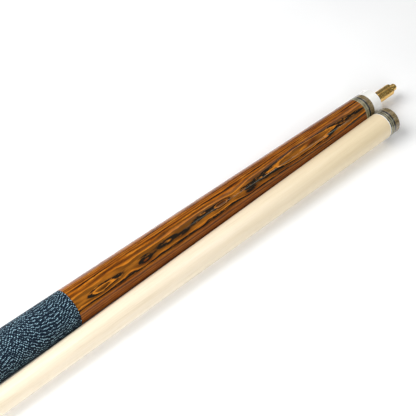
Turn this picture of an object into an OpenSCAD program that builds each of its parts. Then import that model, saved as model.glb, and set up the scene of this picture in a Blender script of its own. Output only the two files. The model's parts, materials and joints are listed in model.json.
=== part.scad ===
// Two-piece pool cue, taken apart and laid down: the butt, with its pin, beside the shaft.
// Each half is drawn along its own axis, with its joint face at x = 0 and the wood running to -X.
// A distance from the joint face back along a half is called its station.

/* [Overall] */
// Length of the butt, from its joint face to the end of its bumper
butt_len = 736.6; // [700:0.1:760]
// Length of the shaft, from its joint face to the crown of its tip
shaft_len = 736.6; // [700:0.1:760]
// Diameter of both halves at the joint face
joint_d = 21.6; // [20:0.1:22.5]
// Diameter of the butt at the rear of its cap
cap_d = 33.3; // [30:0.1:34]

/* [Laid down] */
// Distance between the two axes at the joint
halves_spacing = 22; // [22:0.1:40]
// How far the shaft's joint face lies behind the butt's
shaft_setback = 5.2; // [0:0.1:20]
// Angle by which the shaft points away from the butt towards its tip
shaft_splay = 0; // [0:0.1:3]

/* [Butt joint] */
// Length of the white joint collar
collar_len = 9.3; // [6:0.1:20]
// Length of the horn ring behind the collar
horn_ring_len = 4.6; // [2:0.1:6]
// Length of the black ring behind the horn ring
black_ring_len = 1.6; // [0.6:0.1:2]
// Length of the front silver ring
front_silver_len = 1.5; // [0.6:0.1:2]
// Length of the thin black ring between the two silver rings
black_line_len = 0.5; // [0.4:0.1:1]
// Length of the rear silver ring, next to the forearm
rear_silver_len = 1.8; // [0.6:0.1:2]
// Diameter of the wooden tenon that carries the rings, on both halves
tenon_d = 15.9; // [15:0.1:17]

/* [Joint pin] */
// Outer diameter of the pin
pin_d = 9.525; // [9.525]
// Length of the pin's thread and barrel outside the joint face
pin_out = 25; // [18:0.5:26]
// Length of the pin's plain barrel, next to the joint face
pin_barrel_len = 7; // [4:0.5:10]
// Length of the pin inside the forearm
pin_in = 38; // [30:1:45]
// Diameter of the pilot on the end of the pin
pilot_d = 6; // [5:0.1:7]
// Length of the pilot
pilot_len = 6; // [3:0.5:7]
// Thread pitch of the pin
pin_pitch = 1.8; // [1.2:0.1:2.6]

/* [Handle] */
// Station where the linen wrap starts
wrap_start = 304.8; // [250:0.1:310]
// Length of the linen wrap
wrap_len = 304.8; // [280:0.1:320]
// Thickness of the linen wrap
wrap_t = 0.85; // [0.6:0.05:1.2]
// Diameter of the tenon that joins the handle core to the forearm
core_tenon_d = 18; // [16:0.5:20]
// Length of that tenon
core_tenon_len = 22; // [15:1:30]
// Diameter of the threaded rod between the handle core and the forearm
stud_d = 9.5; // [8:0.5:12]
// Length of the threaded rod
stud_len = 76; // [60:2:100]
// Thread pitch of the threaded rod
stud_pitch = 2; // [1:1:2]

/* [Butt sleeve] */
// Length of each of the three rings at either end of the butt sleeve
sleeve_ring_len = 1.2; // [0.8:0.1:3]
// Length of the butt sleeve between its rings
sleeve_len = 85; // [80:1:90]
// Diameter of the core tenon that the sleeve and the cap are glued onto
sleeve_bore_d = 19; // [18:0.5:21]
// Radius of the rounded rear edge of the cap
cap_edge_r = 1.2; // [0.5:0.1:2]

/* [Bumper and weight] */
// How far the bumper stands out of the cap
bumper_out = 9; // [6:0.5:14]
// Diameter of the bumper
bumper_d = 25; // [22:0.5:27]
// Depth of the bumper's seat in the cap
bumper_seat = 4; // [2:0.5:6]
// Length of the bumper's stem, in the weight bore
bumper_stem_len = 14; // [10:1:20]
// Diameter of the bore for the weight bolt
weight_bore_d = 12.7; // [12.7]
// Depth of that bore, from the seat of the bumper
weight_bore_len = 118; // [105:1:125]
// Length of the weight bolt
weight_len = 76; // [50:2:80]
// Thread pitch of the weight bolt
weight_pitch = 2; // [1:1:2]

/* [Shaft joint] */
// Length of the horn collar at the shaft's joint face
shaft_horn_len = 4.6; // [3:0.1:8]
// Lengths of the six thin rings behind the horn collar, front to back
shaft_ring_lens = [1.7, 0.9, 0.9, 1.3, 1, 0.7];
// Outer diameter of the brass insert
insert_d = 12.7; // [12:0.1:13.5]
// Length of the brass insert
insert_len = 32; // [26:0.5:34]
// Radial clearance between the pin and the insert
thread_clearance = 0.05; // [0.02:0.01:0.1]

/* [Shaft and tip] */
// Diameter of the shaft at its ferrule and tip
tip_d = 13; // [11.5:0.1:13.2]
// Station where the shaft's taper ends and its straight part begins
taper_end = 500; // [400:10:620]
// Length of the ferrule
ferrule_len = 25.4; // [12:0.1:26]
// Diameter of the shaft's tenon inside the ferrule
ferrule_tenon_d = 8; // [7:0.5:9]
// Length of the ferrule's solid end beyond the tenon
ferrule_cap_len = 4; // [2:0.5:6]
// Thickness of the fibre pad
pad_len = 1.2; // [0.5:0.1:2]
// Height of the tip, from the pad to its crown
leather_len = 6; // [3:0.1:7]
// Height of the domed part of the tip
dome_h = 2.4; // [1.5:0.1:3]

/* [Hidden] */
$fn = 96;

// Colours
c_horn = [0.46, 0.36, 0.20];
c_ivory = [0.96, 0.95, 0.90];
c_silver = [0.72, 0.72, 0.68];
c_black = [0.06, 0.06, 0.06];
c_brass = [0.86, 0.60, 0.22];
c_figured = [0.58, 0.27, 0.09];
c_maple = [0.93, 0.83, 0.64];
c_linen = [0.12, 0.17, 0.23];
c_steel = [0.55, 0.56, 0.58];
c_tip = [0.33, 0.42, 0.52];

joint_r = joint_d / 2;
cap_r = cap_d / 2;
tip_r = tip_d / 2;
pin_r = pin_d / 2;
pin_shank_r = pin_r - 0.2;
tenon_r = tenon_d / 2;
insert_bore_r = pin_r + thread_clearance;

// Stations along the butt
horn_s = collar_len;
black_s = horn_s + horn_ring_len;
front_silver_s = black_s + black_ring_len;
line_s = front_silver_s + front_silver_len;
rear_silver_s = line_s + black_line_len;
forearm_s = rear_silver_s + rear_silver_len;
wrap_end = wrap_start + wrap_len;
sleeve_s = wrap_end + 3 * sleeve_ring_len;
sleeve_end = sleeve_s + sleeve_len;
cap_s = sleeve_end + 3 * sleeve_ring_len;
cap_end = butt_len - bumper_out;
seat_s = cap_end - bumper_seat;
weight_bore_s = seat_s - weight_bore_len;
weight_s = weight_bore_s + 2;

// Stations along the shaft: the ends of the horn collar and of each ring behind it
shaft_ring_s = [for (i = [0 : len(shaft_ring_lens)]) shaft_horn_len + sum_of(shaft_ring_lens, i)];
shaft_wood_s = shaft_ring_s[len(shaft_ring_lens)];
pad_s = shaft_len - leather_len - pad_len;
ferrule_s = pad_s - ferrule_len;

// Each half lies on the floor along its underside, so its axis is a little off level
butt_tilt = atan((cap_r - joint_r) / cap_end);
shaft_tilt = atan((joint_r - tip_r) / (shaft_len - dome_h));

// The origin is under the middle of the box that holds both halves
butt_x = (shaft_len + shaft_setback - pin_out - pilot_len) / 2;
butt_y = (halves_spacing + shaft_len * sin(shaft_splay) + tip_r - cap_r) / 2;

// Sum of the first n values of a list
function sum_of(list, n) = n == 0 ? 0 : list[n - 1] + sum_of(list, n - 1);

// Radius of the butt at a station: one straight taper from the joint to the cap
function butt_r(s) = joint_r + (cap_r - joint_r) * s / cap_end;

// Radius of the shaft at a station: a straight taper, then a parallel part up to the tip
function shaft_r(s) = s < taper_end ? joint_r - (joint_r - tip_r) * s / taper_end : tip_r;

// Places the butt, drawn along its own axis, on the floor
module lay_butt() {
    translate([butt_x, butt_y, joint_r * cos(butt_tilt)])
        rotate([0, butt_tilt, 0])
            children();
}

// Places the shaft, drawn along its own axis, on the floor beside the butt
module lay_shaft() {
    translate([butt_x - shaft_setback, butt_y - halves_spacing, joint_r * cos(shaft_tilt)])
        rotate([0, -shaft_tilt, shaft_splay])
            children();
}

// Round bar between two stations, with its radius at each of them
module bar(s0, s1, r0, r1) {
    translate([-s1, 0, 0])
        rotate([0, 90, 0])
            cylinder(h = s1 - s0, r1 = r1, r2 = r0);
}

// Hole of one radius between two stations, run past both ends by a little
module hole(s0, s1, r) {
    bar(s0 - 1, s1 + 1, r, r);
}

// Blind hole that opens towards the joint end
module front_hole(s0, s1, r) {
    bar(s0 - 1, s1, r, r);
}

// Blind hole that opens towards the rear
module rear_hole(s0, s1, r) {
    bar(s0, s1 + 1, r, r);
}

// Solid of revolution about the half's axis; its outline is [radius, distance towards +X]
module turned() {
    rotate([0, 90, 0])
        rotate_extrude()
            children();
}

// Ring of the butt between two stations, around a core of radius bore_r
module butt_ring(s0, s1, bore_r) {
    difference() {
        bar(s0, s1, butt_r(s0), butt_r(s1));
        hole(s0, s1, bore_r);
    }
}

// Ring of the shaft between two stations, around its tenon
module shaft_ring(s0, s1) {
    difference() {
        bar(s0, s1, shaft_r(s0), shaft_r(s1));
        hole(s0, s1, tenon_r);
    }
}

// Thin ring number i of the shaft, counted from the horn collar
module shaft_thin_ring(i) {
    lay_shaft() shaft_ring(shaft_ring_s[i], shaft_ring_s[i + 1]);
}

// Ring number i of the butt sleeve's front set, counted from the wrap
module sleeve_ring(start_s, i) {
    s0 = start_s + i * sleeve_ring_len;
    lay_butt() butt_ring(s0, s0 + sleeve_ring_len, sleeve_bore_d / 2);
}

// Outline of a screw thread as a stack of round grooves with flat crests, from x0 up to x1
function thread_outline(x0, x1, r, pitch, depth) = [
    [r, x0],
    for (i = [0 : floor((x1 - x0) / pitch) - 1])
        let (x = x0 + i * pitch)
            each [
                [r - depth, x + pitch * 0.3], [r - depth, x + pitch * 0.45],
                [r, x + pitch * 0.75], [r, x + pitch]
            ]
];

// Pieces of the butt, from the joint back

module joint_collar() {
    color(c_ivory) lay_butt() butt_ring(0, horn_s, tenon_r);
}

module joint_horn_ring() {
    color(c_horn) lay_butt() butt_ring(horn_s, black_s, tenon_r);
}

module joint_black_ring() {
    color(c_black) lay_butt() butt_ring(black_s, front_silver_s, tenon_r);
}

module joint_silver_ring_front() {
    color(c_silver) lay_butt() butt_ring(front_silver_s, line_s, tenon_r);
}

module joint_black_line() {
    color(c_black) lay_butt() butt_ring(line_s, rear_silver_s, tenon_r);
}

module joint_silver_ring_rear() {
    color(c_silver) lay_butt() butt_ring(rear_silver_s, forearm_s, tenon_r);
}

// Brass pin: glued shank, plain barrel, thread, chamfer and rounded pilot
module joint_pin() {
    pin_chamfer = 0.8;
    pilot_r = pilot_d / 2;
    pilot_edge_r = 1.8;
    thread = thread_outline(pin_barrel_len, pin_out - pin_chamfer, pin_r, pin_pitch, 0.6);
    outline = concat(
        [[0, -pin_in], [pin_shank_r, -pin_in], [pin_shank_r, 0], [pin_r, 0]],
        thread,
        [
            [pin_r, pin_out - pin_chamfer], [pin_r - pin_chamfer, pin_out], [pilot_r, pin_out],
            for (a = [0 : 15 : 90])
                [
                    pilot_r - pilot_edge_r + pilot_edge_r * cos(a),
                    pin_out + pilot_len - pilot_edge_r + pilot_edge_r * sin(a)
                ],
            [0, pin_out + pilot_len]
        ]
    );
    color(c_brass) lay_butt() turned() polygon(outline);
}

// Figured-wood forearm, with the tenon for the rings in front
module forearm() {
    color(c_figured) lay_butt()
        difference() {
            union() {
                bar(0, forearm_s + 1, tenon_r, tenon_r);
                bar(forearm_s, wrap_start, butt_r(forearm_s), butt_r(wrap_start));
            }
            front_hole(0, pin_in, pin_shank_r);
            rear_hole(wrap_start - core_tenon_len, wrap_start, core_tenon_d / 2);
            rear_hole(wrap_start - stud_len / 2, wrap_start, stud_d / 2);
        }
}

// Threaded rod that pulls the forearm and the handle core together
module a_joint_stud() {
    stud_r = stud_d / 2;
    outline = concat(
        [[0, -stud_len / 2]],
        thread_outline(-stud_len / 2, stud_len / 2, stud_r, stud_pitch, 0.7),
        [[0, stud_len / 2]]
    );
    color(c_steel) lay_butt() translate([-wrap_start, 0, 0]) turned() polygon(outline);
}

// Maple core under the wrap, with a tenon at each end
module handle_core() {
    color(c_maple) lay_butt()
        difference() {
            union() {
                bar(wrap_start - core_tenon_len, wrap_start + 1, core_tenon_d / 2, core_tenon_d / 2);
                bar(wrap_start, wrap_end, butt_r(wrap_start) - wrap_t, butt_r(wrap_end) - wrap_t);
                bar(wrap_end - 1, seat_s, sleeve_bore_d / 2, sleeve_bore_d / 2);
            }
            front_hole(wrap_start - core_tenon_len, wrap_start + stud_len / 2, stud_d / 2);
            rear_hole(weight_bore_s, seat_s, weight_bore_d / 2);
        }
}

// Irish linen wound round the core, flush with the wood on each side
module linen_wrap() {
    color(c_linen) lay_butt()
        difference() {
            bar(wrap_start, wrap_end, butt_r(wrap_start), butt_r(wrap_end));
            bar(wrap_start - 1, wrap_end + 1, butt_r(wrap_start - 1) - wrap_t,
                butt_r(wrap_end + 1) - wrap_t);
        }
}

module sleeve_silver_ring_front() {
    color(c_silver) sleeve_ring(wrap_end, 0);
}

module sleeve_black_ring_front() {
    color(c_black) sleeve_ring(wrap_end, 1);
}

module sleeve_horn_ring_front() {
    color(c_horn) sleeve_ring(wrap_end, 2);
}

// Figured-wood sleeve behind the wrap
module butt_sleeve() {
    color(c_figured) lay_butt() butt_ring(sleeve_s, sleeve_end, sleeve_bore_d / 2);
}

module sleeve_horn_ring_rear() {
    color(c_horn) sleeve_ring(sleeve_end, 0);
}

module sleeve_black_ring_rear() {
    color(c_black) sleeve_ring(sleeve_end, 1);
}

module sleeve_silver_ring_rear() {
    color(c_silver) sleeve_ring(sleeve_end, 2);
}

// White cap, with a rounded rear edge and a round seat for the bumper
module butt_cap() {
    rear_r = butt_r(cap_end);
    seat_r = bumper_d / 2 + 0.1;
    color(c_ivory) lay_butt()
        turned() polygon([
            [sleeve_bore_d / 2, -cap_s],
            [butt_r(cap_s), -cap_s],
            for (a = [0 : 15 : 90])
                [
                    rear_r - cap_edge_r + cap_edge_r * cos(a),
                    -cap_end + cap_edge_r - cap_edge_r * sin(a)
                ],
            [seat_r, -cap_end],
            [seat_r, -seat_s],
            [sleeve_bore_d / 2, -seat_s]
        ]);
}

// Steel bolt that sets the cue's weight, with a hexagon socket in its rear end
module weight_bolt() {
    weight_r = weight_bore_d / 2 - 0.05;
    key_across_flats = 6.35;
    key_depth = 8;
    outline = concat(
        [[0, 0]],
        thread_outline(0, weight_len, weight_r, weight_pitch, 0.9),
        [[0, weight_len]]
    );
    color(c_steel) lay_butt()
        translate([-weight_s - weight_len, 0, 0])
            difference() {
                turned() polygon(outline);
                translate([-1, 0, 0])
                    rotate([0, 90, 0])
                        cylinder(h = key_depth + 1, d = key_across_flats / cos(30), $fn = 6);
            }
}

// Rubber bumper: stem in the weight bore, flange in the cap's seat, crowned end
module rubber_bumper() {
    bumper_r = bumper_d / 2;
    stem_r = weight_bore_d / 2 - 0.1;
    edge_r = 4;
    color(c_black) lay_butt()
        turned() polygon([
            [0, -seat_s + bumper_stem_len],
            [stem_r - 1, -seat_s + bumper_stem_len],
            [stem_r, -seat_s + bumper_stem_len - 1],
            [stem_r, -seat_s - 0.1],
            [bumper_r, -seat_s - 0.1],
            for (a = [0 : 15 : 90])
                [bumper_r - edge_r + edge_r * cos(a), -butt_len + edge_r - edge_r * sin(a)],
            [0, -butt_len]
        ]);
}

// Pieces of the shaft, from the joint back

module shaft_horn_collar() {
    color(c_horn) lay_shaft() shaft_ring(0, shaft_ring_s[0]);
}

module shaft_black_ring() {
    color(c_black) shaft_thin_ring(0);
}

module shaft_silver_ring_front() {
    color(c_silver) shaft_thin_ring(1);
}

module shaft_black_line_front() {
    color(c_black) shaft_thin_ring(2);
}

module shaft_silver_ring_rear() {
    color(c_silver) shaft_thin_ring(3);
}

module shaft_black_line_rear() {
    color(c_black) shaft_thin_ring(4);
}

module shaft_cream_ring() {
    color(c_ivory) shaft_thin_ring(5);
}

// Brass insert that takes the butt's pin; its thread is a plain bore
module threaded_insert() {
    color(c_brass) lay_shaft()
        difference() {
            bar(0, insert_len, insert_d / 2, insert_d / 2);
            hole(0, insert_len, insert_bore_r);
        }
}

// Maple shaft, with the ring tenon in front and the ferrule tenon at the tip
module shaft_wood() {
    pilot_hole_len = 4;
    color(c_maple) lay_shaft()
        difference() {
            union() {
                bar(0, shaft_wood_s + 1, tenon_r, tenon_r);
                bar(shaft_wood_s, taper_end, shaft_r(shaft_wood_s), tip_r);
                bar(taper_end, ferrule_s, tip_r, tip_r);
                bar(ferrule_s - 1, pad_s - ferrule_cap_len, ferrule_tenon_d / 2, ferrule_tenon_d / 2);
            }
            front_hole(0, insert_len, insert_d / 2);
            front_hole(insert_len, insert_len + pilot_hole_len, pilot_d / 2 + 0.3);
        }
}

module ferrule() {
    color(c_ivory) lay_shaft()
        difference() {
            bar(ferrule_s, pad_s, tip_r, tip_r);
            front_hole(ferrule_s, pad_s - ferrule_cap_len, ferrule_tenon_d / 2);
        }
}

module tip_pad() {
    color(c_black) lay_shaft() bar(pad_s, pad_s + pad_len, tip_r, tip_r);
}

// Leather tip with a domed crown, an arc through its edge and its middle
module leather_tip() {
    leather_s = pad_s + pad_len;
    dome_r = (tip_r * tip_r + dome_h * dome_h) / (2 * dome_h);
    dome_angle = asin(tip_r / dome_r);
    color(c_tip) lay_shaft()
        turned() polygon([
            [0, -leather_s],
            [tip_r, -leather_s],
            for (i = [8 : -1 : 0])
                let (a = dome_angle * i / 8)
                    [dome_r * sin(a), -shaft_len + dome_r * (1 - cos(a))]
        ]);
}

joint_collar();
joint_horn_ring();
joint_black_ring();
joint_silver_ring_front();
joint_black_line();
joint_silver_ring_rear();
joint_pin();
forearm();
a_joint_stud();
handle_core();
linen_wrap();
sleeve_silver_ring_front();
sleeve_black_ring_front();
sleeve_horn_ring_front();
butt_sleeve();
sleeve_horn_ring_rear();
sleeve_black_ring_rear();
sleeve_silver_ring_rear();
butt_cap();
weight_bolt();
rubber_bumper();
shaft_horn_collar();
shaft_black_ring();
shaft_silver_ring_front();
shaft_black_line_front();
shaft_silver_ring_rear();
shaft_black_line_rear();
shaft_cream_ring();
threaded_insert();
shaft_wood();
ferrule();
tip_pad();
leather_tip();
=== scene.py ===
"""Pool cue, taken apart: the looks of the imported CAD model, on a plain pale floor."""
import json
import math

import bpy
import numpy as np
from mathutils import Matrix, Quaternion, Vector


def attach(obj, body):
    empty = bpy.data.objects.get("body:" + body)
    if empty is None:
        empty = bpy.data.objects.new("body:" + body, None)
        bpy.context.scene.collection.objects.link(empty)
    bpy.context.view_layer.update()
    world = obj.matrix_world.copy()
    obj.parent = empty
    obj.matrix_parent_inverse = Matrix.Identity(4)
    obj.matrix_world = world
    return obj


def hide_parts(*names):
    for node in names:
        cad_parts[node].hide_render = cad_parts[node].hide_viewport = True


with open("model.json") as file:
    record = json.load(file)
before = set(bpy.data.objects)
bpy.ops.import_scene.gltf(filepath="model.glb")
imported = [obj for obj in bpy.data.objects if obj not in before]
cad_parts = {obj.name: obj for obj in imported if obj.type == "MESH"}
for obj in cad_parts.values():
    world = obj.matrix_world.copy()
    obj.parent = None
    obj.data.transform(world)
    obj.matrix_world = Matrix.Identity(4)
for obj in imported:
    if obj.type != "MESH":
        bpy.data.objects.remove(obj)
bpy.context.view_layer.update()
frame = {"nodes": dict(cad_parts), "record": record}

MM = 0.001
TURN = 2 * math.pi
EASE = 0.06 * MM        # how far a turned edge is eased, so that a seam shows as a fine line
SAME_X = 0.02 * MM      # vertices this close in x belong to one end face
SAME_R = 0.01 * MM      # vertices this close in radius belong to one cylinder
ON_AXIS = 1e-7          # metres
ROUNDING = 1e-6         # metres


# ---------------------------------------------------------------- the two halves' own axes

class Half:
    """One half of the cue: its joint face, its axis, and a matrix that lays local pieces on it.

    Local x runs along the axis and is 0 at the joint face, local z is up, in metres."""

    def __init__(self, round_mount, face_mount, body):
        self.body = body
        self.axis = Vector(round_mount["axis"]).normalized()
        on_axis = Vector(round_mount["pos_m"])
        on_face = Vector(face_mount["pos_m"])
        self.face = on_axis + self.axis * (on_face - on_axis).dot(self.axis)
        side = Vector((0, 0, 1)).cross(self.axis).normalized()
        up = self.axis.cross(side)
        turn = Matrix((self.axis, side, up)).transposed()
        self.matrix = Matrix.Translation(self.face) @ turn.to_4x4()

    def outline(self, node):
        """Every vertex of a CAD node as (x along the axis, distance from the axis)."""
        mesh = frame["nodes"][node].data
        back = self.matrix.inverted()
        local = [back @ v.co for v in mesh.vertices]
        return np.array([(p.x, math.hypot(p.y, p.z)) for p in local])

    def span(self, node):
        """A turned node's front and rear x, its radius at each, and its smallest radius."""
        points = self.outline(node)
        front, rear = points[:, 0].max(), points[:, 0].min()
        r_front, r_rear = (radii_at(points, x).max() for x in (front, rear))
        return front, rear, r_front, r_rear, points[:, 1].min()


def radii_at(points, x):
    """The distances from the axis of an outline's vertices at one x."""
    return points[np.abs(points[:, 0] - x) < SAME_X, 1]


MOUNTS = {m["name"]: m for m in frame["record"]["mounts"]}
BUTT = Half(MOUNTS["joint_pin"], MOUNTS["butt_joint_face"], "butt")
SHAFT = Half(MOUNTS["joint_socket"], MOUNTS["shaft_joint_face"], "shaft")


# ---------------------------------------------------------------- mesh work

def new_object(name, verts, faces, half, material, slot, body=None, smooth_angle=30):
    """A mesh piece in a half's own axes that rides on a body."""
    mesh = bpy.data.meshes.new(name)
    mesh.from_pydata([tuple(v) for v in verts], [], faces)
    mesh.validate()
    mesh.shade_smooth()
    mesh.set_sharp_from_angle(angle=math.radians(smooth_angle))
    mesh.materials.append(material)
    piece = bpy.data.objects.new(name, mesh)
    bpy.context.collection.objects.link(piece)
    piece.matrix_world = half.matrix
    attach(piece, body or half.body)
    return piece


def lathe(outline, sides=128):
    """Vertices and faces of a closed turned solid; outline is a loop of (x, r)."""
    verts, rows = [], []
    for x, r in outline:
        if r < ON_AXIS:
            rows.append([len(verts)] * sides)
            verts.append((x, 0.0, 0.0))
            continue
        rows.append(list(range(len(verts), len(verts) + sides)))
        for i in range(sides):
            a = TURN * i / sides
            verts.append((x, r * math.cos(a), r * math.sin(a)))
    faces = []
    closed = outline[0][1] > ON_AXIS or outline[-1][1] > ON_AXIS
    pairs = list(zip(rows, rows[1:]))
    if closed:
        pairs.append((rows[-1], rows[0]))
    for one, two in pairs:
        for i in range(sides):
            j = (i + 1) % sides
            corners = [one[i], one[j], two[j], two[i]]
            face = [c for k, c in enumerate(corners) if c != corners[k - 1]]
            if len(face) > 2:
                faces.append(face)
    return verts, faces


def arc(centre_x, centre_r, radius, start, end, steps=8):
    """Points of a round stretch of an outline; angles in degrees from +r towards +x."""
    angles = [math.radians(start + (end - start) * i / steps) for i in range(steps + 1)]
    return [(centre_x + radius * math.sin(a), centre_r + radius * math.cos(a)) for a in angles]


def ring_outline(front, rear, r_front, r_rear, bore, ease=EASE):
    """A ring, or a disc where bore is 0, with its outer edges just eased."""
    return [
        (rear, bore), (rear, r_rear - ease), (rear + ease, r_rear),
        (front - ease, r_front), (front, r_front - ease), (front, bore),
    ]


def turned_piece(name, outline, half, material, slot, *nodes, body=None):
    """A lathe piece that stands for the named CAD nodes."""
    verts, faces = lathe(outline)
    piece = new_object(name, verts, faces, half, material, slot, body)
    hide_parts(*nodes)


# ---------------------------------------------------------------- shader graphs

class Graph:
    """A material and short calls that add and join its nodes."""

    def __init__(self, name, **principled):
        self.material = bpy.data.materials.new(name)
        self.material.use_nodes = True
        self.tree = self.material.node_tree
        self.shader = self.tree.nodes["Principled BSDF"]
        for key, value in principled.items():
            self.shader.inputs[key.replace("_", " ")].default_value = value

    def add(self, kind, inputs=None, **settings):
        node = self.tree.nodes.new(kind)
        for key, value in settings.items():
            setattr(node, key, value)
        for key, value in (inputs or {}).items():
            self.join(value, node.inputs[key])
        return node

    def join(self, value, socket):
        if isinstance(value, bpy.types.NodeSocket):
            self.tree.links.new(value, socket)
        else:
            socket.default_value = value

    def math(self, operation, *values, clamp=False):
        inputs = dict(enumerate(values))
        return self.add("ShaderNodeMath", inputs, operation=operation, use_clamp=clamp).outputs[0]

    def object_mm(self):
        """The piece's own coordinates, in millimetres: a vector, and its x, y and z."""
        coordinates = self.add("ShaderNodeTexCoord").outputs["Object"]
        vector = self.add("ShaderNodeVectorMath", {0: coordinates, 1: (1000,) * 3},
                          operation="MULTIPLY").outputs[0]
        parts = self.add("ShaderNodeSeparateXYZ", {0: vector}).outputs
        return vector, parts[0], parts[1], parts[2]

    def stretched(self, vector, x, y, z):
        return self.add("ShaderNodeVectorMath", {0: vector, 1: (x, y, z)},
                        operation="MULTIPLY").outputs[0]

    def noise(self, vector, detail=3.0, roughness=0.5):
        node = self.add("ShaderNodeTexNoise", {
            "Vector": vector, "Scale": 1.0, "Detail": detail, "Roughness": roughness})
        return node.outputs[0]

    def ramp(self, factor, stops):
        """Colour ramp with eased steps; each stop is (position, grey value or colour)."""
        node = self.add("ShaderNodeValToRGB", {0: factor})
        ramp = node.color_ramp
        ramp.interpolation = "EASE"
        ramp.elements[0].position = stops[0][0]
        ramp.elements[1].position = stops[-1][0]
        for position, _ in stops[1:-1]:
            ramp.elements.new(position)
        for element, (_, colour) in zip(ramp.elements, stops):
            grey = isinstance(colour, (int, float))
            element.color = (colour,) * 3 + (1,) if grey else tuple(colour) + (1,)
        return node.outputs[0]

    def mix(self, factor, one, two):
        def full(colour):
            return tuple(colour) + (1,) if isinstance(colour, tuple) and len(colour) == 3 else colour
        node = self.add("ShaderNodeMix", data_type="RGBA")
        self.join(factor, node.inputs[0])
        self.join(full(one), node.inputs[6])
        self.join(full(two), node.inputs[7])
        return node.outputs[2]

    def set(self, socket, value):
        self.join(value, self.shader.inputs[socket])

    def bump(self, height, distance_mm, strength):
        node = self.add("ShaderNodeBump", {
            "Height": height, "Strength": strength, "Distance": distance_mm * MM})
        self.set("Normal", node.outputs[0])


RINGS_PER_MM = 0.95                 # of depth below the heart line
LINES_PER_RING = 0.82
LINE_WEIGHT_STEP = 2.4              # radians of the sine that makes some lines heavier
# black bands of the ring count: the middle, half the width, the soft edge
EYE_BAND = (0.50, 0.16, 0.12)
OUTER_BAND = (-0.85, 0.20, 0.15)
WOOD_PAINTED_LIGHT = (0.78, 0.270, 0.022)
WOOD_PALE = (0.62, 0.215, 0.016)
WOOD_ORANGE = (0.44, 0.122, 0.005)
WOOD_DEEP_AND_SHADE = (0.20, 0.048, 0.002)
WOOD_RED = (0.120, 0.018, 0.004)
WOOD_LINE = (0.022, 0.009, 0.002)
WOOD_BLACK = (0.013, 0.009, 0.005)


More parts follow.
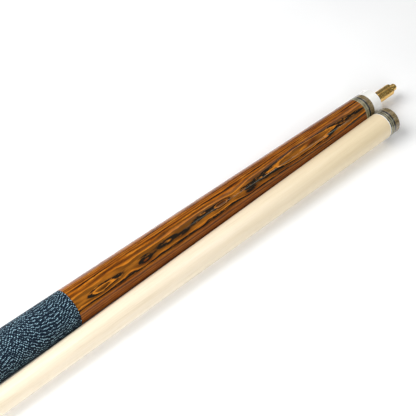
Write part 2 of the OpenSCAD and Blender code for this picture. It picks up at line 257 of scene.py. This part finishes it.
def figured_wood(name, heart, knots, seed=0.0):
    """Dark-figured wood under gloss: the growth rings of a log, cut by the turned surface.

    The ring count (rings) is 0 on the heart line, which runs along the part at the angle heart,
    from the top towards -y, and falls away from it on both sides. Dark lines follow its steps.
    Two bands of it are black: the eye band lies above 0, so that a knot's rise draws a black-edged
    eye, and the outer band draws wavy black lines past the heart.
    A knot is (x mm, angle, half length mm, half width in degrees, rise, redness)."""
    g = Graph(name, Roughness=0.42, Coat_Weight=0.8, Coat_Roughness=0.04, Coat_IOR=1.42,
              Specular_IOR_Level=0.0)
    place, x, y, z = g.object_mm()
    # a shifted place gives each part a figure of its own
    vector = g.add("ShaderNodeVectorMath", {0: place, 1: (seed, 0, 0)}).outputs[0]
    angle = g.math("MULTIPLY", g.math("ARCTAN2", g.math("MULTIPLY", y, -1.0), z), 180 / math.pi)
    heart_y, heart_z = -math.sin(math.radians(heart)), math.cos(math.radians(heart))
    depth = g.math("ADD", g.math("MULTIPLY", y, heart_y), g.math("MULTIPLY", z, heart_z))
    radius = g.math("SQRT", g.math("ADD", g.math("MULTIPLY", y, y), g.math("MULTIPLY", z, z)))
    rings = g.math("MULTIPLY", g.math("SUBTRACT", depth, radius), RINGS_PER_MM)

    def waves(along, across, size, detail=2.0):
        field = g.noise(g.stretched(vector, along, across, across), detail, 0.55)
        return g.math("MULTIPLY", g.math("SUBTRACT", field, 0.5), size)

    for wave in (waves(0.010, 0.08, 1.7), waves(0.032, 0.20, 1.1), waves(0.10, 0.5, 0.5, 3.0)):
        rings = g.math("ADD", rings, wave)

    # each knot lifts the ring count in a bell round it, and some are red inside
    red = 0.0
    for knot_x, knot_angle, length, width, rise, redness in knots:
        along = g.math("DIVIDE", g.math("SUBTRACT", x, knot_x), length)
        across = g.math("DIVIDE", g.math("SUBTRACT", angle, knot_angle), width)
        square = g.math("ADD", g.math("MULTIPLY", along, along), g.math("MULTIPLY", across, across))
        bell = g.math("EXPONENT", g.math("MULTIPLY", square, -1.0))
        rings = g.math("ADD", rings, g.math("MULTIPLY", bell, rise))
        red = g.math("ADD", red, g.math("MULTIPLY", bell, redness))

    def band(centre, half_width, soft):
        off = g.math("ABSOLUTE", g.math("SUBTRACT", rings, centre))
        return g.ramp(g.math("DIVIDE", off, half_width + soft),
                      [(half_width / (half_width + soft), 1.0), (1.0, 0.0)])

    # half turns from the top, and the heart's own place on that scale
    half_turn, heart_at = g.math("DIVIDE", angle, 180.0), heart / 180

    # ring lines of differing weights, patchy along the part and fainter well past the heart
    steps = g.math("MULTIPLY", rings, LINES_PER_RING)
    off_line = g.math("MULTIPLY", g.math("PINGPONG", steps, 0.5), 2.0)
    line = g.ramp(off_line, [(0.0, 1.0), (0.44, 1.0), (0.62, 0.15), (0.95, 0.0)])
    weight = g.math("SINE", g.math("MULTIPLY", g.math("ROUND", steps), LINE_WEIGHT_STEP))
    line = g.math("MULTIPLY", line, g.math("ADD", g.math("MULTIPLY", weight, 0.2), 0.8))
    side = g.ramp(half_turn, [(heart_at + 0.13, 1.0), (heart_at + 0.19, 0.7)])
    patchy = g.ramp(g.noise(g.stretched(vector, 0.035, 0.3, 0.3), 2.0), [(0.36, 0.6), (0.58, 1.0)])
    line = g.math("MULTIPLY", g.math("MULTIPLY", line, side), patchy)

    # the two black bands, with ragged gaps
    past_heart = g.ramp(half_turn, [(heart_at + 0.03, 0.25), (heart_at + 0.08, 1.0)])
    outer = g.math("MULTIPLY", band(*OUTER_BAND), past_heart)
    gaps = g.noise(g.stretched(vector, 0.13, 0.9, 0.9), 4.0, 0.65)
    ragged = g.ramp(gaps, [(0.34, 0.35), (0.46, 1.0)])
    black = g.math("MULTIPLY", g.math("MAXIMUM", band(*EYE_BAND), outer), ragged)

    # the ground between them: slow tones and pores, with painted shade darkening it well past the
    # heart, on the side turned down towards the shaft, and painted light brightening it near the
    # heart
    pore_field = g.noise(g.stretched(vector, 0.30, 4.0, 4.0), 3.0, 0.6)
    pores = g.ramp(pore_field, [(0.40, 1.0), (0.56, 0.0)])
    tone = g.noise(g.stretched(vector, 0.05, 0.4, 0.4), 3.0, 0.6)
    ground = g.ramp(tone, [(0.32, WOOD_DEEP_AND_SHADE), (0.5, WOOD_ORANGE), (0.70, WOOD_PALE)])
    ground = g.mix(g.math("MULTIPLY", pores, 0.35), ground, WOOD_LINE)
    # painted shade: well past the heart, on the side turned down towards the shaft, the ground is
    # darkened towards deep brown
    painted_lower_shade = g.math("MULTIPLY", g.math("SUBTRACT", 1.0, side), 1.8, clamp=True)
    ground = g.mix(painted_lower_shade, ground, WOOD_DEEP_AND_SHADE)
    # painted light: a band along the heart line, on the side that faces the camera, is painted paler
    # orange
    off_heart = g.math("ABSOLUTE", g.math("SUBTRACT", half_turn, heart_at))
    ground = g.mix(g.ramp(off_heart, [(0.05, 0.65), (0.15, 0.0)]), ground, WOOD_PAINTED_LIGHT)
    ground = g.mix(g.math("MINIMUM", red, 0.92), ground, WOOD_RED)
    colour = g.mix(line, ground, WOOD_LINE)
    g.set("Base Color", g.mix(black, colour, WOOD_BLACK))
    g.bump(pores, 0.01, 0.12)
    return g.material


MAPLE_PAINTED_LIGHT_MM = 260.0               # how far behind the joint the painted light gradient reaches


def maple(name):
    """Pale straight-grained maple with a satin seal, fine flecks and slow bands of tone."""
    g = Graph(name, Roughness=0.42, Coat_Weight=0.5, Coat_Roughness=0.22, Specular_IOR_Level=0.5)
    vector, x = g.object_mm()[:2]
    bands = g.noise(g.stretched(vector, 0.010, 0.30, 0.30), 3.0, 0.55)
    grain = g.noise(g.stretched(vector, 0.06, 2.4, 2.4), 4.0, 0.6)
    fleck_field = g.noise(g.stretched(vector, 0.45, 4.5, 4.5), 3.0, 0.6)
    flecks = g.ramp(fleck_field, [(0.60, 0.0), (0.70, 1.0)])
    tone = g.math("ADD", g.math("MULTIPLY", bands, 0.6), g.math("MULTIPLY", grain, 0.4))
    colour = g.ramp(tone, [(0.36, (0.79, 0.67, 0.49)), (0.5, (0.87, 0.75, 0.57)),
                           (0.64, (0.91, 0.80, 0.64))])
    # painted light: the maple is painted warmer and darker next to the joint and paler farther back,
    # where more light and haze fall
    near_joint = g.ramp(g.math("DIVIDE", x, -MAPLE_PAINTED_LIGHT_MM), [(0.0, 1.0), (1.0, 0.0)])
    colour = g.mix(g.math("MULTIPLY", near_joint, 0.55), colour, (0.84, 0.66, 0.36))
    g.set("Base Color", g.mix(g.math("MULTIPLY", flecks, 0.18), colour, (0.62, 0.42, 0.20)))
    g.set("Roughness", g.ramp(grain, [(0.3, 0.36), (0.7, 0.5)]))
    g.bump(grain, 0.01, 0.3)
    return g.material


def linen(name, start_x, start_r, slope, pitch, fleck_pitch):
    """Wound two-colour thread: pale flecks spaced along the thread's own length.

    t counts turns of thread back from the front edge, so its whole steps are the gaps between
    strands; turns_wound follows the strand itself round the cue and is steady across its width."""
    g = Graph(name, Roughness=0.6, Specular_IOR_Level=0.1)
    vector, x, y, z = g.object_mm()
    turn = g.math("DIVIDE", g.math("ARCTAN2", y, z), TURN)
    t = g.math("ADD", g.math("DIVIDE", g.math("SUBTRACT", start_x, x), pitch), turn)
    strand = g.math("FRACT", t)
    turns_wound = g.math("SUBTRACT", g.math("ADD", g.math("FLOOR", t), 0.5), turn)
    mean_r = g.math("ADD", g.math("MULTIPLY", turns_wound, pitch * slope / 2), start_r)
    wound = g.math("MULTIPLY", g.math("MULTIPLY", mean_r, turns_wound), TURN)
    # uneven winding pulls the flecks to and fro
    uneven = g.noise(g.stretched(vector, 0.28, 0.06, 0.06), 3.0, 0.55)
    loose = g.noise(g.stretched(vector, 0.9, 0.35, 0.35), 2.0, 0.5)
    phase = g.math("ADD", g.math("DIVIDE", wound, fleck_pitch), g.math("MULTIPLY", uneven, 2.4))
    phase = g.math("ADD", phase, g.math("MULTIPLY", loose, 1.1))
    # the pale ply crosses the thread at a slant, so a fleck leans with the twist
    phase = g.math("FRACT", g.math("ADD", phase, g.math("MULTIPLY", strand, 0.35)))
    fleck = g.ramp(phase, [(0.04, 0.0), (0.18, 1.0), (0.34, 1.0), (0.48, 0.0)])
    crown = g.ramp(strand, [(0.0, 0.0), (0.2, 0.1), (0.4, 1.0), (0.6, 1.0), (0.8, 0.1), (1.0, 0.0)])
    wear = g.noise(g.stretched(vector, 0.8, 0.8, 0.8), 2.0, 0.5)
    strength = g.ramp(wear, [(0.40, 0.05), (0.56, 1.0)])
    pale = g.math("MULTIPLY", g.math("MULTIPLY", fleck, crown), strength)
    fibres = g.noise(g.stretched(vector, 6.0, 2.5, 2.5), 3.0, 0.6)
    ground = g.ramp(fibres, [(0.3, (0.001, 0.007, 0.022)), (0.7, (0.005, 0.022, 0.055))])
    # painted shade: between the strands, away from their crowns, the ground is darkened to near
    # black
    ground = g.mix(crown, (0.001, 0.002, 0.003), ground)
    g.set("Base Color", g.mix(pale, ground, (0.52, 0.83, 1.0)))
    g.bump(g.math("MULTIPLY", crown, g.math("ADD", fibres, 0.6)), 0.05, 0.5)
    return g.material


def polished(name, dark, light, roughness, cloud_scale, metallic=0.0, coat=0.0):
    """A turned, polished material: fine turning marks round it and a slow change of tone.

    cloud_scale is how fast the tone changes along the part and across it, per millimetre."""
    g = Graph(name, Metallic=metallic, Coat_Weight=coat, Coat_Roughness=0.04)
    vector = g.object_mm()[0]
    along, across = cloud_scale
    spread = 0.03
    cloud = g.noise(g.stretched(vector, along, across, across), 4.0, 0.6)
    marks = g.noise(g.stretched(vector, 14.0, 0.05, 0.05), 3.0, 0.6)
    scuffs = g.noise(g.stretched(vector, 0.8, 0.8, 0.8), 5.0, 0.7)
    g.set("Base Color", g.ramp(cloud, [(0.35, dark), (0.65, light)]))
    g.set("Roughness", g.ramp(scuffs, [(0.3, roughness - spread), (0.75, roughness + spread)]))
    g.bump(marks, 0.01, 0.25)
    return g.material


def rubber(name):
    """Matt black rubber with dust and small pits."""
    g = Graph(name, Roughness=0.75, Specular_IOR_Level=0.4)
    vector = g.object_mm()[0]
    dust = g.noise(g.stretched(vector, 0.35, 0.35, 0.35), 5.0, 0.7)
    pits = g.noise(g.stretched(vector, 4.0, 4.0, 4.0), 3.0, 0.6)
    g.set("Base Color", g.ramp(dust, [(0.4, (0.012, 0.012, 0.013)), (0.75, (0.05, 0.048, 0.045))]))
    g.set("Roughness", g.ramp(dust, [(0.3, 0.62), (0.7, 0.85)]))
    g.bump(pits, 0.05, 0.4)
    return g.material


def leather(name):
    """Pressed tip leather with worn blue chalk on its crown."""
    g = Graph(name, Roughness=0.9, Specular_IOR_Level=0.2)
    vector = g.object_mm()[0]
    chalk = g.noise(g.stretched(vector, 1.3, 1.3, 1.3), 5.0, 0.7)
    layers = g.noise(g.stretched(vector, 7.0, 0.3, 0.3), 3.0, 0.6)
    hide = g.ramp(layers, [(0.35, (0.055, 0.035, 0.022)), (0.65, (0.13, 0.085, 0.05))])
    g.set("Base Color", g.mix(g.ramp(chalk, [(0.34, 0.1), (0.6, 0.95)]), hide, (0.10, 0.25, 0.42)))
    g.bump(chalk, 0.12, 0.7)
    return g.material


# ---------------------------------------------------------------- materials

# x in mm (negative behind the joint face), angle, half length, half width, rise, redness
FOREARM_KNOTS = [
    (-90, 28, 40, 30, 1.62, 0.0),
    (-81, 23, 9, 6, 0.3, 1.0),
    (-30, 26, 22, 11, 0.40, 0.0),
    (-197, 23, 12, 13, 0.66, 0.0),
    (-176, 25, 8, 9, 1.3, 0.8),
    (-213, 35, 6, 7, 0.6, 0.9),
    (-249, 40, 7, 8, 1.0, 1.0),
    (-154, 27, 5, 7, 0.6, 0.3),
    (-150, 46, 6, 7, 0.9, 0.6),
    (-272, 35, 7, 7, 0.55, 0.0),
    (-228, 30, 8, 8, 0.5, 0.2),
    (-165, 8, 14, 16, -1.1, 0.0),
    (-285, 34, 9, 12, 1.3, 0.0),
]
SLEEVE_KNOTS = [
    (-645, 20, 16, 24, 1.2, 0.2),
    (-672, 44, 9, 10, 0.5, 0.9),
    (-625, 12, 8, 9, 0.9, 0.8),
    (-664, 30, 12, 12, 0.4, 0.0),
]

MATERIALS = {
    "forearm": figured_wood("forearm_wood", 29.0, FOREARM_KNOTS),
    "sleeve": figured_wood("sleeve_wood", 24.0, SLEEVE_KNOTS, seed=37.0),
    "maple": maple("maple"),
    "ivory_phenolic": polished("ivory_phenolic", (0.96, 0.95, 0.90), (0.98, 0.975, 0.94), 0.12,
                               cloud_scale=(0.5, 0.5), coat=0.6),
    "horn": polished("horn", (0.10, 0.07, 0.028), (0.30, 0.22, 0.10), 0.22,
                     cloud_scale=(0.25, 1.4), coat=0.6),
    "nickel_silver": polished("nickel_silver", (0.34, 0.31, 0.19), (0.44, 0.41, 0.27), 0.36,
                              cloud_scale=(0.5, 0.12), metallic=0.7),
    "black_phenolic": polished("black_phenolic", (0.008, 0.008, 0.009), (0.018, 0.018, 0.018), 0.18,
                               cloud_scale=(0.5, 0.5), coat=0.6),
    "brass": polished("brass", (0.74, 0.45, 0.13), (0.86, 0.58, 0.20), 0.20,
                      cloud_scale=(0.3, 0.5), metallic=1.0),
    "steel": polished("steel", (0.42, 0.43, 0.45), (0.58, 0.59, 0.60), 0.32,
                      cloud_scale=(0.4, 0.6), metallic=1.0),
    "fibre": polished("fibre", (0.010, 0.010, 0.011), (0.035, 0.034, 0.033), 0.7,
                      cloud_scale=(2.0, 2.0)),
    "bumper_rubber": rubber("bumper_rubber"),
    "tip_leather": leather("tip_leather"),
}
SLOT_OF = {s["node"]: s["material_slot"] for s in frame["record"]["subparts"]}


def finish_of(node):
    """The material that a node's slot in the record calls for, and the slot itself."""
    slot = SLOT_OF[node]
    return MATERIALS[slot], slot


# ---------------------------------------------------------------- rings and collars

BUTT_RINGS = [
    "joint_collar", "joint_horn_ring", "joint_black_ring", "joint_silver_ring_front",
    "joint_black_line", "joint_silver_ring_rear", "sleeve_silver_ring_front",
    "sleeve_black_ring_front", "sleeve_horn_ring_front", "sleeve_horn_ring_rear",
    "sleeve_black_ring_rear", "sleeve_silver_ring_rear",
]
SHAFT_RINGS = [
    "shaft_horn_collar", "shaft_black_ring", "shaft_silver_ring_front", "shaft_black_line_front",
    "shaft_silver_ring_rear", "shaft_black_line_rear", "shaft_cream_ring",
]
for half, rings in ((BUTT, BUTT_RINGS), (SHAFT, SHAFT_RINGS)):
    for node in rings:
        outline = ring_outline(*half.span(node))
        turned_piece(node + "_turned", outline, half, *finish_of(node), node)


# ---------------------------------------------------------------- wooden parts

def long_bar(front, rear, r_front, r_rear, steps):
    """Points down a long taper, so that the mesh has square-ish faces."""
    return [(front + (rear - front) * i / steps, r_front + (r_rear - r_front) * i / steps)
            for i in range(steps + 1)]


def forearm():
    """Solid to the wrap, with a bore for the pin's shank and a tenon under the rings."""
    bore_depth = 38 * MM
    ring_rear = BUTT.span("joint_silver_ring_rear")
    wrap_front = BUTT.span("linen_wrap")
    tenon_r = ring_rear[4]
    bore_r = BUTT.span("joint_pin")[3]
    front, rear = ring_rear[1], wrap_front[0]
    outline = [(-bore_depth, 0.0), (-bore_depth, bore_r), (0.0, bore_r), (0.0, tenon_r)]
    outline += [(front, tenon_r), (front, ring_rear[3] - EASE)]
    outline += long_bar(front - EASE, rear, ring_rear[3], wrap_front[2], steps=40)
    outline += [(rear, 0.0)]
    turned_piece("forearm_turned", outline, BUTT, MATERIALS["forearm"], "figured_wood",
                 "forearm")


def butt_sleeve():
    """A plain taper with a bore through it."""
    front, rear, r_front, r_rear, bore = BUTT.span("butt_sleeve")
    outline = [(front, bore)] + long_bar(front, rear, r_front, r_rear, steps=20) + [(rear, bore)]
    turned_piece("butt_sleeve_turned", outline, BUTT, MATERIALS["sleeve"], "figured_wood",
                 "butt_sleeve")


def shaft_wood():
    """A tenon under the rings, a straight taper, then parallel to the ferrule."""
    points = SHAFT.outline("shaft_wood")
    ring = SHAFT.span("shaft_cream_ring")
    ferrule = SHAFT.span("ferrule")
    insert = SHAFT.span("threaded_insert")
    tip_r = ferrule[2]
    taper_end = points[(np.abs(points[:, 1] - tip_r) < SAME_R), 0].max()
    outline = [(insert[1], 0.0), (insert[1], insert[2]), (0.0, insert[2]), (0.0, ring[4])]
    outline += [(ring[1], ring[4])]
    outline += long_bar(ring[1], taper_end, ring[3], tip_r, steps=80)
    outline += long_bar(taper_end, ferrule[0], tip_r, tip_r, steps=16)[1:]
    outline += [(ferrule[0], 0.0)]
    turned_piece("shaft_wood_turned", outline, SHAFT, *finish_of("shaft_wood"), "shaft_wood")


forearm()
butt_sleeve()
shaft_wood()


# ---------------------------------------------------------------- linen wrap

THREAD_PITCH = 0.85 * MM
THREAD_DEPTH = 0.09 * MM
ROWS_PER_THREAD = 5
WRAP_SIDES = 80
WRAP_SECTIONS = 6
WRAP_WALL = 0.8 * MM
FLECKS_IN_FIRST_TURN = 37.6


def linen_wrap():
    """The wrap as short tubes end to end, each with the thread's ridges in its outer skin."""
    front, rear, r_front, r_rear, _ = BUTT.span("linen_wrap")
    slope = (r_rear - r_front) / (front - rear)
    fleck_pitch = TURN * r_front / FLECKS_IN_FIRST_TURN
    material = linen("linen", front / MM, r_front / MM, slope, THREAD_PITCH / MM, fleck_pitch / MM)
    length = (front - rear) / WRAP_SECTIONS
    rows = round(length / THREAD_PITCH * ROWS_PER_THREAD)
    angles = np.arange(WRAP_SIDES) * TURN / WRAP_SIDES
    for section in range(WRAP_SECTIONS):
        xs = front - section * length - np.arange(rows + 1) * length / rows
        x, a = np.meshgrid(xs, angles, indexing="ij")
        taper_r = r_front + (front - x) * slope
        # the same turn count as in the linen material, with the angle from z towards y
        turns = (front - x) / THREAD_PITCH + a / TURN
        outer = taper_r - THREAD_DEPTH * (0.5 + 0.5 * np.cos(TURN * turns))
        skin = np.stack([x, outer * np.sin(a), outer * np.cos(a)], -1).reshape(-1, 3)
        inside_r = taper_r[[0, -1], :1] - WRAP_WALL
        inner = np.concatenate([
            np.stack([np.full(WRAP_SIDES, xs[k]), inside_r[k] * np.sin(angles),
                      inside_r[k] * np.cos(angles)], -1) for k in (0, -1)])
        verts = np.concatenate([skin, inner])
        faces = []
        inner_front = (rows + 1) * WRAP_SIDES
        inner_rear = inner_front + WRAP_SIDES
        starts = [r * WRAP_SIDES for r in range(rows + 1)] + [inner_rear, inner_front]
        for one, two in zip(starts, starts[1:] + starts[:1]):
            for i in range(WRAP_SIDES):
                j = (i + 1) % WRAP_SIDES
                faces.append((one + i, two + i, two + j, one + j))
        piece = new_object(f"linen_wrap_{section + 1}", verts, faces, BUTT, material, "linen",
                           smooth_angle=80)
        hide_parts("linen_wrap")


linen_wrap()


# ---------------------------------------------------------------- brass pin and insert

PIN_THREAD_PITCH = 1.4 * MM


def joint_pin():
    """Shank, plain barrel, helical thread, chamfer and pilot, as one closed skin."""
    points = BUTT.outline("joint_pin")
    front, rear = points[:, 0].max(), points[:, 0].min()
    pin_r = points[:, 1].max()
    shank_r = BUTT.span("joint_pin")[3]
    barrel, thread_end, shoulder = 7 * MM, 23.8 * MM, 25 * MM
    pitch, depth = PIN_THREAD_PITCH, 0.22 * MM
    pilot_r, pilot_edge, chamfer = 3 * MM, 1.8 * MM, 0.8 * MM
    half_groove, flat_root = 0.34, 0.8      # in pitches, and as a share of the depth
    sides, rows_per_pitch = 64, 10
    outline = [(rear, 0.0), (rear, shank_r), (0.0, shank_r), (0.0, pin_r), (barrel, pin_r)]
    rows = round((thread_end - barrel) / pitch * rows_per_pitch)
    outline += [(barrel + (thread_end - barrel) * i / rows, pin_r) for i in range(1, rows + 1)]
    outline += [(shoulder - chamfer, pin_r), (shoulder, pin_r - chamfer), (shoulder, pilot_r)]
    outline += arc(front - pilot_edge, pilot_r - pilot_edge, pilot_edge, 0, 90)
    outline += [(front, 0.0)]
    verts, faces = lathe(outline, sides)
    cut = []
    for x, y, z in verts:
        r = math.hypot(y, z)
        if barrel < x < thread_end and r > pin_r - ROUNDING:
            turn = (x / pitch - math.atan2(z, y) / TURN) % 1.0
            groove = max(0.0, 1 - abs(turn - 0.5) / half_groove)
            run_out = min(1.0, (x - barrel) / pitch, (thread_end - x) / pitch)
            scale = (r - depth * min(groove, flat_root) * run_out) / r
            y, z = y * scale, z * scale
        cut.append((x, y, z))
    piece = new_object("joint_pin_turned", cut, faces, BUTT, *finish_of("joint_pin"),
                       smooth_angle=35)
    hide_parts("joint_pin")


def threaded_insert():
    """Brass insert with a helical thread in its bore and an eased mouth."""
    front, rear, r_front, r_rear, bore = SHAFT.span("threaded_insert")
    pitch, depth, half_groove = PIN_THREAD_PITCH, 0.2 * MM, 0.4
    rows, sides = 160, 64
    mouth = 0.5 * MM
    outline = [(front, r_front), (rear, r_rear), (rear, bore)]
    outline += [(rear + (front - mouth - rear) * i / rows, bore) for i in range(1, rows + 1)]
    outline += [(front, bore + mouth)]
    verts, faces = lathe(outline, sides)
    cut = []
    for x, y, z in verts:
        r = math.hypot(y, z)
        if r < bore + ROUNDING and rear + pitch < x < front - mouth - ROUNDING:
            turn = (x / pitch - math.atan2(z, y) / TURN) % 1.0
            scale = (r + depth * max(0.0, 1 - abs(turn - 0.5) / half_groove)) / r
            y, z = y * scale, z * scale
        cut.append((x, y, z))
    piece = new_object("threaded_insert_turned", cut, faces, SHAFT, *finish_of("threaded_insert"),
                       smooth_angle=35)
    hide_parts("threaded_insert")


joint_pin()
threaded_insert()


# ---------------------------------------------------------------- rear end and tip

def butt_cap():
    """Cap with a rounded rear edge and a shallow seat for the bumper."""
    front, rear, r_front, _, bore = BUTT.span("butt_cap")
    points = BUTT.outline("butt_cap")
    rear_r = points[:, 1].max()
    edge, lip, seat_depth = 1.2 * MM, 0.15 * MM, 4 * MM
    seat_r = radii_at(points, rear).min()
    seat_x = rear + seat_depth
    outline = [(front, bore), (front, r_front - EASE), (front - EASE, r_front)]
    outline += arc(rear + edge, rear_r - edge, edge, 0, -90)
    outline += [(rear, seat_r + lip), (rear + lip, seat_r), (seat_x, seat_r), (seat_x, bore)]
    turned_piece("butt_cap_turned", outline, BUTT, *finish_of("butt_cap"), "butt_cap")


def rubber_bumper():
    """Bumper with a crowned end, a moulding line round it and a shallow dished centre."""
    points = BUTT.outline("rubber_bumper")
    front, rear = points[:, 0].max(), points[:, 0].min()
    bumper_r = points[:, 1].max()
    seat_x = points[points[:, 1] > bumper_r - SAME_R, 0].max()
    stem_r = points[(points[:, 0] > seat_x + MM), 1].max()
    edge, lip = 4 * MM, 0.25 * MM
    dish_depth, dish_r = 0.8 * MM, 10.4 * MM
    outline = [(front, 0.0), (front, stem_r - MM), (front - MM, stem_r), (seat_x, stem_r)]
    outline += [(seat_x, bumper_r)]
    parting = rear + edge + 0.6 * MM
    outline += [(parting + lip, bumper_r), (parting, bumper_r - lip), (parting - lip, bumper_r)]
    outline += arc(rear + edge, bumper_r - edge, edge, 0, -90, steps=10)
    rim = math.degrees(math.acos((dish_r - dish_depth) / dish_r))
    outline += arc(rear + dish_depth - dish_r, 0.0, dish_r, 90 - rim, 90, steps=6)
    turned_piece("rubber_bumper_moulded", outline, BUTT, *finish_of("rubber_bumper"),
                 "rubber_bumper", body="bumper")


def ferrule_and_tip():
    """Ferrule and pad as plain discs, and the tip with a ball-shaped crown."""
    for node in ("ferrule", "tip_pad"):
        front, rear, r_front, r_rear, _ = SHAFT.span(node)
        outline = ring_outline(front, rear, r_front, r_rear, 0.0, ease=0.05 * MM)
        turned_piece(node + "_turned", outline, SHAFT, *finish_of(node), node)
    points = SHAFT.outline("leather_tip")
    front, rear = points[:, 0].max(), points[:, 0].min()
    tip_r = points[:, 1].max()
    dome_h = points[points[:, 1] > tip_r - SAME_R, 0].min() - rear
    dome_r = (tip_r ** 2 + dome_h ** 2) / (2 * dome_h)
    half_angle = math.degrees(math.asin(tip_r / dome_r))
    bevel, rim = 0.1 * MM, 0.2 * MM
    outline = [(front, 0.0), (front, tip_r - bevel / 2), (front - bevel, tip_r)]
    outline += [(rear + dome_h + rim, tip_r)]
    outline += [(rear + dome_r - dome_r * math.cos(a), dome_r * math.sin(a))
                for a in np.radians(np.linspace(half_angle, 0, 12))[:-1]]
    outline += [(rear, 0.0)]
    turned_piece("leather_tip_pressed", outline, SHAFT, *finish_of("leather_tip"), "leather_tip")


butt_cap()
rubber_bumper()
ferrule_and_tip()


# ---------------------------------------------------------------- inner CAD parts keep their shape

for node in ("handle_core", "a_joint_stud", "weight_bolt"):
    part = frame["nodes"][node]
    part.data.materials.clear()
    part.data.materials.append(finish_of(node)[0])


# ---------------------------------------------------------------- floor, light and camera

def floor():
    """Pale seamless paper, lit a little from within so that shadows stay thin."""
    size, drop = 3.0, 0.2 * MM
    mesh = bpy.data.meshes.new("floor")
    mesh.from_pydata([(-size, -size, 0), (size, -size, 0), (size, size, 0), (-size, size, 0)], [],
                     [(0, 1, 2, 3)])
    g = Graph("floor_paper", Roughness=0.9, Specular_IOR_Level=0.2, Emission_Strength=0.08)
    clouds = g.noise(g.stretched(g.object_mm()[0], 0.01, 0.01, 0.01))
    g.set("Base Color", g.ramp(clouds, [(0.3, (0.93, 0.93, 0.93)), (0.7, (0.96, 0.96, 0.955))]))
    g.set("Emission Color", (1.0, 1.0, 1.0, 1.0))
    mesh.materials.append(g.material)
    sheet = bpy.data.objects.new("floor", mesh)
    sheet.location.z = -drop
    bpy.context.collection.objects.link(sheet)


def area_light(name, aim, direction, distance, size, power, colour=(1, 1, 1)):
    """A soft rectangular light that looks at aim from a direction."""
    data = bpy.data.lights.new(name, "AREA")
    data.shape = "RECTANGLE"
    data.size, data.size_y = size
    data.energy = power
    data.color = colour
    lamp = bpy.data.objects.new(name, data)
    away = Vector(direction).normalized()
    lamp.location = aim + away * distance
    lamp.rotation_euler = away.to_track_quat("Z", "Y").to_euler()
    bpy.context.collection.objects.link(lamp)


def camera(aim, azimuth, elevation, roll, distance, lens):
    """Camera that looks at aim; azimuth 0 looks along +Y and turns towards +X."""
    a, e = math.radians(azimuth), math.radians(elevation)
    forward = Vector((math.sin(a) * math.cos(e), math.cos(a) * math.cos(e), -math.sin(e)))
    data = bpy.data.cameras.new("camera")
    data.lens = lens
    data.clip_start = 0.01
    eye = bpy.data.objects.new("camera", data)
    eye.location = aim - forward * distance
    turn = forward.to_track_quat("-Z", "Y") @ Quaternion((0, 0, 1), math.radians(roll))
    eye.rotation_euler = turn.to_euler()
    bpy.context.collection.objects.link(eye)
    bpy.context.scene.camera = eye


def room(colour, strength):
    """Even light from all round."""
    world = bpy.data.worlds.new("room")
    world.use_nodes = True
    background = world.node_tree.nodes["Background"]
    background.inputs[0].default_value = colour
    background.inputs[1].default_value = strength
    bpy.context.scene.world = world


# the camera and the lights look at a point on the floor beside the butt
AIM_BEHIND_JOINT = 170.9 * MM
AIM_BESIDE_AXIS = 10.3 * MM
aim = Vector((BUTT.face.x - AIM_BEHIND_JOINT, BUTT.face.y + AIM_BESIDE_AXIS, 0.0))

floor()
area_light("key", aim, (-0.62, 0.35, 0.70), distance=1.1, size=(0.8, 0.8), power=15)
area_light("fill", aim, (-0.55, -0.62, 0.56), distance=1.2, size=(0.9, 0.6), power=7.2)
area_light("card", aim, (0.68, 0.15, 0.66), distance=1.5, size=(0.5, 1.1), power=1.0)
area_light("strip", aim, (0.62, -0.48, 0.64), distance=2.0, size=(0.05, 0.9), power=0.9,
           colour=(0.9, 1.0, 0.85))
room(colour=(0.95, 0.97, 1.0, 1), strength=0.2)
bpy.context.scene.view_settings.view_transform = "Standard"
camera(aim, azimuth=50.80, elevation=49.13, roll=8.45, distance=0.6417, lens=77.79)
